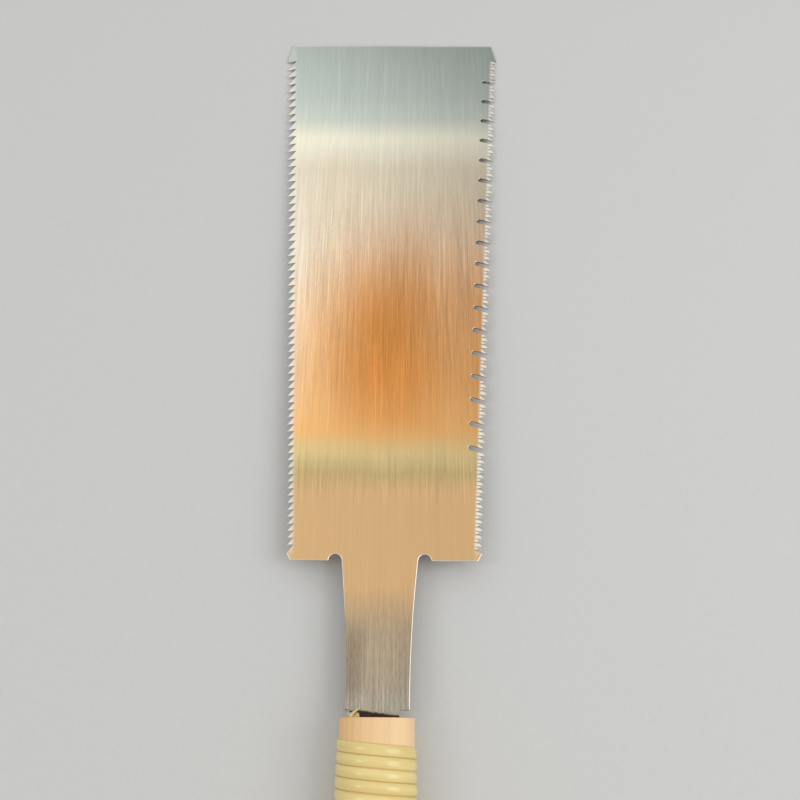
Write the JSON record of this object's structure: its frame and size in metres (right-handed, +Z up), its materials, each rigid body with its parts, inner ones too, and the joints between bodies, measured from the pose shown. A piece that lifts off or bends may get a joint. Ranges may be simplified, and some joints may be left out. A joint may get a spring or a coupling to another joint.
{
  "type": "ryoba saw",
  "caption": "Ryoba pull saw with rip teeth on one edge, crosscut teeth and raker slots on the other, and a tang that draws out of a split wooden handle bound with rattan.",
  "frame": {"origin": "on the table under the middle of the saw's box, as the saw lies flat", "axes": "+Y along the saw towards the blade's tip, +X towards the crosscut teeth, +Z up from the table"},
  "size_m": [0.1082, 0.6426, 0.0374],
  "materials": {
    "steel": "hand-scraped along the blade, satin, with a warm tint",
    "wood": "bare planed softwood",
    "rattan": "glossy natural rattan skin",
    "shim_wood": "raw split wood"
  },
  "bodies": {
    "blade": {"saw_blade": "steel"},
    "handle": {"handle_upper_half": "wood", "handle_lower_half": "wood", "rattan_binding": "rattan", "tang_shim": "shim_wood"}
  },
  "joints": [
    {"name": "tang_slide", "type": "slide", "parent": "blade", "child": "handle", "axis": [0, -0.9994, 0.0358], "range_m": [0, 0.12]}
  ]
}
